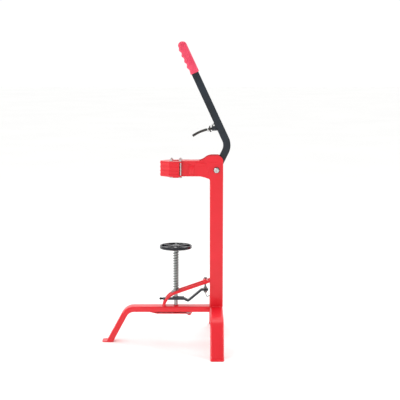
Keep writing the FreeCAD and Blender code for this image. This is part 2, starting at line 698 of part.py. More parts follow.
# ---------------------------------------------------------------- bottle platform
def platform_disc():
    """The moulded disc: rim, floor, hub and ribs."""
    bottom = PLATFORM_TOP_Z - PLATFORM_HEIGHT
    base = Vector(ROD_X, 0, bottom)
    body = Part.makeCylinder(PLATFORM_RADIUS, PLATFORM_HEIGHT, base)
    recess_z = Vector(ROD_X, 0, bottom + PLATFORM_FLOOR)
    depth = PLATFORM_HEIGHT - PLATFORM_FLOOR
    recess = Part.makeCylinder(PLATFORM_RADIUS - PLATFORM_RIM, depth, recess_z)
    recess = recess.cut(Part.makeCylinder(PLATFORM_HUB, depth, recess_z))
    for index in range(PLATFORM_RIBS):
        rib = block(0, PLATFORM_RADIUS, -2, 2, recess_z.z, recess_z.z + depth - 2)
        rib = rib.rotate(Vector(0, 0, 0), UP, 360 / PLATFORM_RIBS * (index + 0.5))
        rib.translate(Vector(ROD_X, 0, 0))
        recess = recess.cut(rib)
    body = body.cut(recess)
    screw_seat = Part.makeCylinder(6.5, 3.2, Vector(ROD_X, 0, PLATFORM_TOP_Z - 3.2))
    screw_hole = Part.makeCylinder(2.5, PLATFORM_HEIGHT, base)
    return body.cut(screw_seat).cut(screw_hole)


def platform_screw():
    """The screw that holds the disc on its rod."""
    top = Vector(ROD_X, 0, PLATFORM_TOP_Z - 3.2)
    head = Part.makeCylinder(5.5, 2.6, top)
    shank = Part.makeCylinder(2.5, PLATFORM_HEIGHT + 6, top - UP * (PLATFORM_HEIGHT + 6))
    return head.fuse(shank)


def rod_top_z():
    """The top of the platform rod, under the disc."""
    return PLATFORM_TOP_Z - PLATFORM_HEIGHT - CLEARANCE


def platform_rod():
    """The round rod that carries the disc."""
    rod = Part.makeCylinder(ROD_DIAMETER / 2, rod_top_z() - ROD_END_Z, Vector(ROD_X, 0, ROD_END_Z))
    hole = Part.makeCylinder(2.5 + RUNNING_GAP, 14, Vector(ROD_X, 0, rod_top_z() - 14))
    return rod.cut(hole)


def rod_collar():
    """The washer under the disc, on which the spring bears."""
    base = Vector(ROD_X, 0, rod_top_z() - 2.5)
    return Part.makeCylinder(11, 2.5, base).cut(Part.makeCylinder(ROD_DIAMETER / 2, 2.5, base))


def platform_spring():
    """The compression spring between the guide plate and the collar."""
    radius = SPRING_MEAN
    half_wire = SPRING_WIRE / 2
    bottom = GUIDE_TOP_Z + half_wire + CLEARANCE / 2
    top = rod_top_z() - 2.5 - half_wire - CLEARANCE / 2
    helix = Part.makeHelix((top - bottom) / SPRING_TURNS, top - bottom, radius)
    helix.translate(Vector(ROD_X, 0, bottom))
    start = Vector(ROD_X + radius, 0, bottom)
    section = Part.Wire(Part.makeCircle(half_wire, start, ACROSS))
    return Part.Wire(helix.Edges).makePipeShell([section], True, True)


# ---------------------------------------------------------------- arch, guides and catch
def arch_bar():
    """The left bar, from the column's front face down to the front leg."""
    y = ARCH_SPACING / 2
    points = side_outline([(-COLUMN_HALF, ARCH_TOP_Z), (ROD_X - ARCH_CORNER_AHEAD, ARCH_CORNER_Z),
                           (ROD_X - ARCH_FOOT_AHEAD, LEG_TOP_Z)], y)
    first = (points[1] - points[0]).normalize()
    last = (points[2] - points[1]).normalize()
    path = rounded_path([points[0] - first * 8, points[1], points[2] + last * 8], ARCH_BEND)
    start = points[0] - first * 8
    bar = sweep(path, Part.Wire(Part.makeCircle(ARCH_BAR / 2, start, first)))
    in_column = block(-COLUMN_HALF, 0, -40, 40, 0, JAW_FLOOR_Z)
    in_leg = block(-FRONT_KNEE, 0, -40, 40, 0, LEG_TOP_Z)
    return bar.cut(in_column).cut(in_leg)


def guide_plate(bars):
    """The plate between the bars: upper guide of the rod and seat of the spring."""
    plate = block(ROD_X - 15, ROD_X + 15, -ARCH_SPACING / 2, ARCH_SPACING / 2, GUIDE_TOP_Z - GUIDE_PLATE, GUIDE_TOP_Z)
    bore = Part.makeCylinder(ROD_DIAMETER / 2 + RUNNING_GAP, 20, Vector(ROD_X, 0, GUIDE_TOP_Z - 15))
    plate = plate.cut(bore)
    for bar in bars:
        plate = plate.cut(bar)
    return max(plate.Solids, key=lambda solid: solid.Volume)


def rod_bush():
    """The bush through the front leg: lower guide of the rod."""
    bottom = LEG_UNDERSIDE_Z - STIFFENER_DROP - 1
    base = Vector(ROD_X, 0, bottom)
    height = LEG_TOP_Z + 2 - bottom
    return Part.makeCylinder(9, height, base).cut(Part.makeCylinder(ROD_DIAMETER / 2 + RUNNING_GAP, height, base))


def leg_stiffener():
    """The folded plate under the front leg, with a lip at its rear end."""
    top = LEG_UNDERSIDE_Z
    low = top - STIFFENER_DROP
    front = ROD_X - 90
    rear = ROD_X + 56
    outer = [(front, top), (front + 26, low), (rear - 20, low), (rear - 12, low - 5), (rear - 6, low - 5), (rear, top)]
    wall = STIFFENER_PLATE
    inner = [(front + 11, top), (front + 27, low + wall), (rear - 21, low + wall), (rear - 13, low - 2.2),
             (rear - 8.2, low - 2.2), (rear - 3.4, top)]
    width = LEG_WIDTH - 9
    body = slab(polygon(side_outline(outer, -width / 2)), ACROSS * width)
    hollow = slab(polygon(side_outline(inner, -width / 2)), ACROSS * width)
    bush = Part.makeCylinder(9, 40, Vector(ROD_X, 0, low - 20))
    return body.cut(hollow).cut(bush)


def hanger_bracket(bars):
    """The saddle across the two bars that holds the hanger bolt."""
    top = HANGER_BAR_Z + ARCH_BAR / 2 + 3
    half = ARCH_SPACING / 2 + 3
    saddle = block(HANGER_X - 9, HANGER_X + 9, -half, half, HANGER_BAR_Z + 1, top)
    crown = round_bar(12, Vector(HANGER_X, -half, top - 2), Vector(HANGER_X, half, top - 2))
    body = saddle.fuse(crown).removeSplitter()
    body = body.cut(Part.makeCylinder(HANGER_BOLT / 2 + 0.2, 40, Vector(HANGER_X, 0, HANGER_BAR_Z - 20)))
    for bar in bars:
        body = body.cut(bar)
    return max(body.Solids, key=lambda solid: solid.Volume)


def hanger_top_z():
    """The top of the saddle."""
    return HANGER_BAR_Z + ARCH_BAR / 2 + 3 + 4


def hanger_bolt():
    """The bolt on which the catch lever's rear end hangs."""
    bottom = CATCH_END_Z - 10
    shank = Part.makeCylinder(HANGER_BOLT / 2, hanger_top_z() - bottom, Vector(HANGER_X, 0, bottom))
    return shank.fuse(hexagon(10, 4, Vector(HANGER_X, 0, hanger_top_z())))


def hanger_nuts():
    """The nuts above and below the catch lever."""
    nuts = []
    for base in (CATCH_END_Z + CATCH_THICKNESS / 2 + 1.5, CATCH_END_Z - CATCH_THICKNESS / 2 - 6.5):
        place = Vector(HANGER_X, 0, base)
        nuts.append(hexagon(10, 5, place).cut(Part.makeCylinder(HANGER_BOLT / 2, 6, place)))
    return Part.makeCompound(nuts)


def catch_lever():
    """The bent strip that grips the rod when it tilts."""
    front = ROD_X - 44
    middle = [(HANGER_X + 10, CATCH_END_Z), (HANGER_X - 13, CATCH_END_Z), (ROD_X + 42, CATCH_Z - 7),
              (ROD_X + 29, CATCH_Z), (front, CATCH_Z)]
    points = side_outline(middle, 0)
    path = rounded_path(points, 5.0)
    strip = sweep(path, rectangle_section(points[0], ACROSS, UP, CATCH_WIDTH, CATCH_THICKNESS, 0.8))
    pad = block(ROD_X - 12, ROD_X + 28, -CATCH_WIDTH / 2, CATCH_WIDTH / 2, CATCH_Z - 2, CATCH_Z - 2 + CATCH_PAD)
    radius = ROD_DIAMETER / 2 + CATCH_HOLE_PLAY
    rod_hole = block(ROD_X - CATCH_SLOT_PLAY, ROD_X + CATCH_SLOT_PLAY, -radius, radius, CATCH_Z - 20, CATCH_Z + 20)
    for x in (ROD_X - CATCH_SLOT_PLAY, ROD_X + CATCH_SLOT_PLAY):
        rod_hole = rod_hole.fuse(Part.makeCylinder(radius, 40, Vector(x, 0, CATCH_Z - 20)))
    bolt_hole = Part.makeCylinder(HANGER_BOLT / 2 + 0.9, 20, Vector(HANGER_X, 0, CATCH_END_Z - 10))
    return strip.fuse(pad).removeSplitter().cut(rod_hole).cut(bolt_hole)


def catch_knob():
    """The round knob on the catch lever's front end."""
    end = Vector(ROD_X - 44, 0, CATCH_Z)
    return Part.makeCylinder(3.6, 9, end, Vector(-1, 0, 0)).fuse(Part.makeSphere(4.6, end - Vector(9, 0, 0)))


def catch_spring():
    """The wire between the hanger bolt and the column."""
    points = side_outline([(HANGER_X, CATCH_END_Z - 11.2), (HANGER_X + 5, CATCH_END_Z - 27),
                           (-COLUMN_HALF, CATCH_END_Z - 21)], 0)
    path = rounded_path(points, 4.0)
    section = Part.Wire(Part.makeCircle(1.1, points[0], points[1] - points[0]))
    return sweep(path, section).cut(block(-COLUMN_HALF, 0, -5, 5, 0, JAW_FLOOR_Z))


# ---------------------------------------------------------------- assembly
def build_stand():
    """Everything that stays still."""
    half_leg = LEG_WIDTH / 2
    front_foot = FRONT_KNEE + LEG_SPREAD
    rear_foot = REAR_KNEE + LEG_SPREAD
    bush = rod_bush()
    bars = [arch_bar(), mirrored(arch_bar())]
    front_leg = leg(half_leg, FRONT_KNEE, front_foot)
    shapes = {
        "column": column(),
        "column_cap": column_cap(),
        "front_leg": front_leg.cut(Part.makeCylinder(9, 60, Vector(ROD_X, 0, LEG_UNDERSIDE_Z - 20))),
        "front_foot": foot(front_foot),
        "leg_stiffener": leg_stiffener(),
        "rod_bush": bush,
        "arch_bar_left": bars[0],
        "arch_bar_right": bars[1],
        "guide_plate": guide_plate(bars),
        "hanger_bracket": hanger_bracket(bars),
        "hanger_bolt": hanger_bolt(),
        "hanger_nuts": hanger_nuts(),
        "catch_spring": catch_spring(),
        "head_side_left": side_plate(),
        "head_side_right": mirrored(side_plate()),
        "jaw_housing": jaw_housing(),
        "top_cover": top_cover(),
        "base_plate": base_plate(),
        "bottle_cup": bottle_cup(),
        "tie_bolts": tie_bolts(),
        "tie_nuts": tie_nuts(),
        "pivot_bolt": pivot_bolt(),
        "pivot_nut": pivot_nut(),
        "pivot_washers": pivot_washers(),
        "pivot_spacers": pivot_spacers(),
        "jaw_front": jaw(180, True),
        "platform_spring": platform_spring(),
    }
    for side, degrees in (("left", -90), ("right", 90)):
        shapes["rear_leg_" + side] = turned(leg(0, REAR_KNEE, rear_foot), degrees)
        shapes["rear_foot_" + side] = turned(foot(rear_foot), degrees)
    return shapes


def build_jaws():
    """The slide, the rear jaw that it carries, its roller, and the two side jaws."""
    step = JAW_OPENING / math.sqrt(2)
    return {
        "pusher": pusher(),
        "jaw_rear": open_jaw(0, True, Vector(PUSHER_TRAVEL, 0, 0)),
        "roller_pin": roller_pin(),
        "cam_roller": cam_roller(),
        "jaw_left": open_jaw(90, False, Vector(step, step, 0)),
        "jaw_right": open_jaw(270, False, Vector(step, -step, 0)),
    }


def build_lever():
    """The lever with its cams, grip, plunger and nuts."""
    return {
        "lever_arm": lever_arm(),
        "cam_cheeks": cam_cheeks(),
        "grip": grip(),
        "plunger_lug": plunger_lug(),
        "lug_screw": lug_screw(),
        "plunger_rod": plunger_rod(),
        "plunger_lock_nut": plunger_lock_nut(),
        "wing_nut": wing_nut(),
    }


def build_platform():
    """The disc, its rod and the catch."""
    return {
        "platform_disc": platform_disc(),
        "platform_screw": platform_screw(),
        "platform_rod": platform_rod(),
        "rod_collar": rod_collar(),
        "catch_lever": catch_lever(),
        "catch_knob": catch_knob(),
    }


SHAPES = {**build_stand(), **build_jaws(), **build_lever(), **build_platform()}

# The origin moves to the floor under the middle of the whole object.
rearmost = SHAPES["lever_arm"].optimalBoundingBox().XMax
frontmost = SHAPES["front_foot"].optimalBoundingBox().XMin
MIDDLE_X = (rearmost + frontmost) / 2

os.makedirs("parts", exist_ok=True)
for name, shape in SHAPES.items():
    shape.translate(Vector(-MIDDLE_X, 0, 0))
    shape.exportStep("parts/" + name + ".step")
print(len(SHAPES), "pieces, middle at x =", round(MIDDLE_X, 3))
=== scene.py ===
"""Looks of the floor-standing bottle corker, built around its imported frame."""

import json
import logging
import math
from collections.abc import Callable
from dataclasses import dataclass, field
from enum import Enum

import bmesh
import bpy
from mathutils import Matrix, Vector


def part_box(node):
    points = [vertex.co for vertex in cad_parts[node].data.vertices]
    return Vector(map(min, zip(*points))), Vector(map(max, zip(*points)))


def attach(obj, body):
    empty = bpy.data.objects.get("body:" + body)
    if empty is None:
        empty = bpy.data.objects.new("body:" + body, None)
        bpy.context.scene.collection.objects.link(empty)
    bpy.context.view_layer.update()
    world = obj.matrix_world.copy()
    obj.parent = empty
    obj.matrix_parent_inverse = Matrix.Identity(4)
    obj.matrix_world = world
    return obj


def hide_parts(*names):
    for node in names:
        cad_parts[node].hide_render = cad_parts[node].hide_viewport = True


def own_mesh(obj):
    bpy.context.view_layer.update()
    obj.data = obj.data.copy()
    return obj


LOG = logging.getLogger("bottle_corker")
MM = 0.001
UP = Vector((0, 0, 1))
MERGE_DISTANCE = 0.01 * MM  # vertices nearer than this become one
RIPPLE_STEP = 0.9  # a weld ripple to the next, in radii
RIPPLE_LENGTH = 0.8  # a weld ripple along the bead, in radii

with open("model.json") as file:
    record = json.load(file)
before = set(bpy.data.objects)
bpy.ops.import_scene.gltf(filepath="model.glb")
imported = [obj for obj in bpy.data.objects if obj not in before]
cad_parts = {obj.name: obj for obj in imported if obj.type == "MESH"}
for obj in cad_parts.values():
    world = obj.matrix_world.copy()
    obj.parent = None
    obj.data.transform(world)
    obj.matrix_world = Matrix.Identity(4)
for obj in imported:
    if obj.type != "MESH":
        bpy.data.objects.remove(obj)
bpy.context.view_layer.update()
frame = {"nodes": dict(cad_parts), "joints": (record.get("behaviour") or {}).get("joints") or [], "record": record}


# ------------------------------------------------------------------ colour and nodes
def linear(hex_colour: str) -> tuple[float, float, float, float]:
    """Turn an sRGB hex colour into linear light.

    Args:
        hex_colour: Six hex digits, with or without a leading #.

    Returns:
        Linear red, green, blue and an alpha of 1.
    """
    digits = hex_colour.lstrip("#")
    channels = []
    for start in (0, 2, 4):
        value = int(digits[start:start + 2], 16) / 255
        channels.append(value / 12.92 if value <= 0.04045 else ((value + 0.055) / 1.055) ** 2.4)
    return channels[0], channels[1], channels[2], 1.0


def add_node(tree: bpy.types.NodeTree, kind: str, settings: dict | None = None,
             links: dict | None = None) -> bpy.types.Node:
    """Add one node with its settings and links.

    Args:
        tree: The node tree that takes the node.
        kind: Blender's identifier of the node.
        settings: Values by attribute name, or by input name or number.
        links: Output sockets by the input's name or number.

    Returns:
        The new node.
    """
    node = tree.nodes.new(kind)
    for key, value in (settings or {}).items():
        if isinstance(key, str) and hasattr(node, key):
            setattr(node, key, value)
        else:
            node.inputs[key].default_value = value
    for key, socket in (links or {}).items():
        tree.links.new(socket, node.inputs[key])
    return node


def ramp(tree: bpy.types.NodeTree, factor: bpy.types.NodeSocket,
         stops: list[tuple[float, str]]) -> bpy.types.NodeSocket:
    """Add a colour ramp.

    Args:
        tree: The node tree.
        factor: The socket that drives the ramp.
        stops: Places and hex colours, in order.

    Returns:
        The ramp's colour socket.
    """
    node = add_node(tree, "ShaderNodeValToRGB", links={"Fac": factor})
    elements = node.color_ramp.elements
    while len(elements) < len(stops):
        elements.new(0.5)
    for element, (place, colour) in zip(elements, stops):
        element.position = place
        element.color = linear(colour)
    return node.outputs["Color"]


class Pattern(Enum):
    """How a finish's colour varies over its surface."""

    CLOUDS = "soft clouds"
    BRUSHED_UP = "fine lines along z"
    STIPPLE = "moulded grain"


@dataclass(frozen=True)
class Finish:
    """A surface finish: its colours, gloss and grain."""

    name: str
    dark: str
    light: str
    roughness: float
    roughness_spread: float = 0.08
    metallic: float = 0.0
    ior: float = 1.5
    coat: float = 0.0
    coat_roughness: float = 0.1
    pattern: Pattern = Pattern.CLOUDS
    patch_mm: float = 40.0
    grain_mm: float = 1.2
    bump_mm: float = 0.02
    sheen: float = 0.0

    def material(self) -> bpy.types.Material:
        """Build the finish's material, or return the one already built.

        Returns:
            The material.
        """
        made = bpy.data.materials.get(self.name)
        if made is not None:
            return made
        made = bpy.data.materials.new(self.name)
        made.use_nodes = True
        tree = made.node_tree
        tree.nodes.clear()
        place = add_node(tree, "ShaderNodeTexCoord").outputs["Object"]
        stretch = (1.0, 1.0, 0.08) if self.pattern is Pattern.BRUSHED_UP else (1.0, 1.0, 1.0)
        mapped = add_node(tree, "ShaderNodeMapping", {"Scale": stretch}, {"Vector": place}).outputs["Vector"]
        patches = add_node(tree, "ShaderNodeTexNoise", {"Scale": 1 / (self.patch_mm * MM), "Detail": 4.0,
                                                        "Roughness": 0.55}, {"Vector": mapped})
        grain = add_node(tree, "ShaderNodeTexNoise", {"Scale": 1 / (self.grain_mm * MM), "Detail": 2.0,
                                                      "Roughness": 0.5}, {"Vector": mapped})
        colour = ramp(tree, patches.outputs["Fac"], [(0.32, self.dark), (0.68, self.light)])
        gloss = add_node(tree, "ShaderNodeMapRange",
                         {"From Min": 0.3, "From Max": 0.7, "To Min": self.roughness - self.roughness_spread,
                          "To Max": self.roughness + self.roughness_spread}, {"Value": patches.outputs["Fac"]})
        height = grain.outputs["Fac"]
        if self.pattern is Pattern.STIPPLE:
            cells = add_node(tree, "ShaderNodeTexVoronoi", {"Scale": 1 / (self.grain_mm * MM)}, {"Vector": mapped})
            height = cells.outputs["Distance"]
        bump = add_node(tree, "ShaderNodeBump", {"Strength": 0.6, "Distance": self.bump_mm * MM},
                        {"Height": height})
        shader = add_node(tree, "ShaderNodeBsdfPrincipled",
                          {"Metallic": self.metallic, "IOR": self.ior, "Coat Weight": self.coat,
                           "Coat Roughness": self.coat_roughness, "Sheen Weight": self.sheen},
                          {"Base Color": colour, "Roughness": gloss.outputs["Result"],
                           "Normal": bump.outputs["Normal"]})
        add_node(tree, "ShaderNodeOutputMaterial", links={"Surface": shader.outputs["BSDF"]})
        return made


# Powder-coated steel: a hard saturated skin with a shallow orange-peel grain and a soft gloss.
RED_ENAMEL = Finish("red_powder_coat", "#DE0519", "#E80B24", 0.38, 0.05, coat=0.25, coat_roughness=0.1,
                    patch_mm=120, grain_mm=2.2, bump_mm=0.03)
# Blue-black stoving enamel over a hot-rolled bar: satin, with faint mill clouds.
BLACK_ENAMEL = Finish("blue_black_enamel", "#0A131C", "#13212E", 0.33, 0.07, coat=0.25, coat_roughness=0.2,
                      patch_mm=60, grain_mm=1.6, bump_mm=0.03)
# Zinc-plated fasteners: bright, slightly clouded.
ZINC = Finish("zinc_plate", "#B9BBBA", "#DFE0DE", 0.3, 0.1, metallic=1.0, patch_mm=8, grain_mm=0.6, bump_mm=0.01)
# The hanger's plated bolt and nuts, dulled.
DULL_ZINC = Finish("dull_zinc_plate", "#6F7170", "#979998", 0.4, 0.1, metallic=1.0, patch_mm=6, grain_mm=0.6,
                   bump_mm=0.02)
# Drawn bright steel of the rod and the spring, with fine lines along it.
BRIGHT_STEEL = Finish("drawn_steel", "#8F9291", "#B0B3B1", 0.3, 0.08, metallic=1.0, pattern=Pattern.BRUSHED_UP,
                      patch_mm=5, grain_mm=0.5, bump_mm=0.01)
# Galvanised spring wire: greyer than the rod it runs over.
SPRING_WIRE = Finish("galvanised_wire", "#3C3F3E", "#6B6E6C", 0.33, 0.08, metallic=1.0, patch_mm=6, grain_mm=0.5)
# Blackened threaded steel, oily and dull. On the pivot washers this dark colour is painted shade: the dark ring
# round the pivot bolt's head.
DARK_STEEL = Finish("blackened_steel_and_painted_shade", "#3B3A39", "#5A5856", 0.42, 0.1, metallic=1.0, patch_mm=5, grain_mm=0.6)
# Machined brass of the jaws.
JAW_BRASS = Finish("machined_brass", "#B98E47", "#D9B26A", 0.3, 0.08, metallic=1.0, pattern=Pattern.BRUSHED_UP,
                   patch_mm=6, grain_mm=0.5, bump_mm=0.01)
# Moulded black nylon: glossy, faintly blue, with a very fine grain.
BLACK_NYLON = Finish("moulded_black_nylon", "#101118", "#1C1D27", 0.22, 0.05, ior=1.53, patch_mm=30, grain_mm=0.8,
                     bump_mm=0.015, pattern=Pattern.STIPPLE)
# Soft PVC grip: pinkish red, half matt, with a moulded stipple.
GRIP_RUBBER = Finish("moulded_grip_rubber", "#E63C5C", "#F04A68", 0.42, 0.05, ior=1.52, patch_mm=35, grain_mm=0.7,
                     bump_mm=0.015, pattern=Pattern.STIPPLE, sheen=0.15)
# Matt off-white studio floor, nearly even.
PALE_FLOOR = Finish("pale_studio_floor", "#FAFAF9", "#FDFDFC", 0.9, 0.02, patch_mm=800, grain_mm=30, bump_mm=0.05)

SLOT_FINISHES = {
    "red_enamel": RED_ENAMEL, "black_enamel": BLACK_ENAMEL, "zinc": ZINC, "bright_steel": BRIGHT_STEEL,
    "dark_steel": DARK_STEEL, "jaw_brass": JAW_BRASS, "black_plastic": BLACK_NYLON, "red_rubber": GRIP_RUBBER,
}


# ------------------------------------------------------------------ modelling helpers
def deselect() -> None:
    """Leave edit mode and clear the selection."""
    if bpy.context.object is not None and bpy.context.object.mode != "OBJECT":
        bpy.ops.object.mode_set(mode="OBJECT")
    bpy.ops.object.select_all(action="DESELECT")


def activate(piece: bpy.types.Object) -> None:
    """Make one piece the only selected and active object.

    Args:
        piece: The object.
    """
    deselect()
    piece.select_set(True)
    bpy.context.view_layer.objects.active = piece


def edit(piece: bpy.types.Object) -> bmesh.types.BMesh:
    """Enter edit mode on a piece.

    Args:
        piece: The mesh object to edit.

    Returns:
        Its edit mesh.
    """
    activate(piece)
    bpy.ops.object.mode_set(mode="EDIT")
    return bmesh.from_edit_mesh(piece.data)


def select_faces(piece: bpy.types.Object, wanted: Callable[[bmesh.types.BMFace], bool]) -> int:
    """Select the faces for which a test holds, in edit mode.

    Args:
        piece: The mesh being edited.
        wanted: A function of a face that says whether it is selected.

    Returns:
        How many faces are selected.
    """
    bpy.ops.mesh.select_mode(type="FACE")
    bpy.ops.mesh.select_all(action="DESELECT")
    mesh = bmesh.from_edit_mesh(piece.data)
    count = 0
    for face in mesh.faces:
        if wanted(face):
            face.select_set(True)
            count += 1
    mesh.select_flush(True)
    bmesh.update_edit_mesh(piece.data)
    return count


def apply_modifier(piece: bpy.types.Object, kind: str, **settings: object) -> None:
    """Add a modifier, set it and apply it.

    Args:
        piece: The object that is changed.
        kind: Blender's identifier of the modifier.
        settings: Its settings.
    """
    activate(piece)
    modifier = piece.modifiers.new(kind.lower(), kind)
    for key, value in settings.items():
        setattr(modifier, key, value)
    bpy.ops.object.modifier_apply(modifier=modifier.name)


def place_mesh(piece: bpy.types.Object, matrix: Matrix) -> None:
    """Move a piece's mesh into place and leave its object at the origin.

    Args:
        piece: The object.
        matrix: The move, in the world's frame.
    """
    activate(piece)
    piece.matrix_world = matrix @ piece.matrix_world
    bpy.context.view_layer.update()
    bpy.ops.object.transform_apply(location=True, rotation=True, scale=True)


def outward(piece: bpy.types.Object, angle: float = 35.0) -> None:
    """Merge doubles, turn the faces outwards and shade smooth up to an angle.

    Args:
        piece: The mesh object.
        angle: The sharpest edge that is still shaded smooth, in degrees.
    """
    edit(piece)
    bpy.ops.mesh.select_all(action="SELECT")
    bpy.ops.mesh.remove_doubles(threshold=MERGE_DISTANCE)
    bpy.ops.mesh.normals_make_consistent(inside=False)
    bpy.ops.object.mode_set(mode="OBJECT")
    bpy.ops.object.shade_smooth_by_angle(angle=math.radians(angle))


def finish_piece(piece: bpy.types.Object, name: str, finish: Finish, body: str,
                 replaced: tuple[str, ...] = ()) -> bpy.types.Object:
    """Name, dress and mount a finished piece.

    Args:
        piece: The object.
        name: The piece's name.
        finish: Its finish.
        body: The body that it rides on.
        replaced: CAD nodes that it stands for.

    Returns:
        The piece.
    """
    piece.name = name
    piece.data.name = name
    piece.data.materials.clear()
    piece.data.materials.append(finish.material())
    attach(piece, body)
    if replaced:
        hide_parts(*replaced)
    LOG.info("%s: %d faces on %s", name, len(piece.data.polygons), body)
    return piece


def joined(pieces: list[bpy.types.Object]) -> bpy.types.Object:
    """Join several objects into the first.

    Args:
        pieces: The objects, at least one.

    Returns:
        The first, which now holds them all.
    """
    deselect()
    for piece in pieces:
        piece.select_set(True)
    bpy.context.view_layer.objects.active = pieces[0]
    bpy.ops.object.join()
    return pieces[0]


def rounded_block(size: tuple[float, float, float], centre: Vector, bevel: float,
                  turn: float = 0.0) -> bpy.types.Object:
    """A block with rounded edges.

    Args:
        size: Its length, width and height before it is turned.
        centre: Its middle.
        bevel: The radius of its edges.
        turn: Its turn about the upright axis, in radians.

    Returns:
        The block, with its object at the origin.
    """
    deselect()
    bpy.ops.mesh.primitive_cube_add(size=1)
    piece = bpy.context.object
    edit(piece)
    bpy.ops.mesh.select_all(action="SELECT")
    bpy.ops.transform.resize(value=size)
    bpy.ops.object.mode_set(mode="OBJECT")
    apply_modifier(piece, "BEVEL", width=bevel, segments=3)
    place_mesh(piece, Matrix.Translation(centre) @ Matrix.Rotation(turn, 4, "Z"))
    return piece


def dome(centre: Vector, radius: float, height: float, side: int) -> bpy.types.Object:
    """A flat round pip on a face square to y: a spot weld or a pressed dimple.

    Args:
        centre: The middle of its foot, on the face.
        radius: Its radius.
        height: How far it stands proud.
        side: The way it faces along y, 1 or -1.

    Returns:
        The pip.
    """
    deselect()
    bpy.ops.mesh.primitive_uv_sphere_add(segments=20, ring_count=10, radius=1)
    piece = bpy.context.object
    edit(piece)
    bpy.ops.mesh.select_all(action="SELECT")
    bpy.ops.transform.resize(value=(radius, height, radius))
    bpy.ops.mesh.bisect(plane_co=(0, 0, 0), plane_no=(0, -side, 0), use_fill=True, clear_outer=True)
    bpy.ops.object.mode_set(mode="OBJECT")
    place_mesh(piece, Matrix.Translation(centre))
    return piece


def weld_line(start: Vector, end: Vector, radius: float) -> bpy.types.Object:
    """A weld bead: overlapping ripples laid from start to end.

    Args:
        start: The first ripple's middle.
        end: Where the bead stops.
        radius: The bead's radius.

    Returns:
        The bead.
    """
    deselect()
    run = end - start
    pitch = radius * RIPPLE_STEP
    bpy.ops.mesh.primitive_uv_sphere_add(segments=12, ring_count=8, radius=radius)
    piece = bpy.context.object
    edit(piece)
    bpy.ops.mesh.select_all(action="SELECT")
    bpy.ops.transform.resize(value=(RIPPLE_LENGTH, 1, 1))
    bpy.ops.object.mode_set(mode="OBJECT")
    apply_modifier(piece, "ARRAY", count=max(int(run.length / pitch), 1), use_relative_offset=False,
                   use_constant_offset=True, constant_offset_displace=(pitch, 0, 0))
    turn = Vector((1, 0, 0)).rotation_difference(run.normalized()).to_matrix().to_4x4()
    place_mesh(piece, Matrix.Translation(start) @ turn)
    return piece


def joint_place(name: str) -> Vector:
    """The place of a hinge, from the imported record.

    Args:
        name: The joint's name.

    Returns:
        Its place in metres.
    """
    return Vector(next(joint["pos_m"] for joint in frame["joints"] if joint["name"] == name))


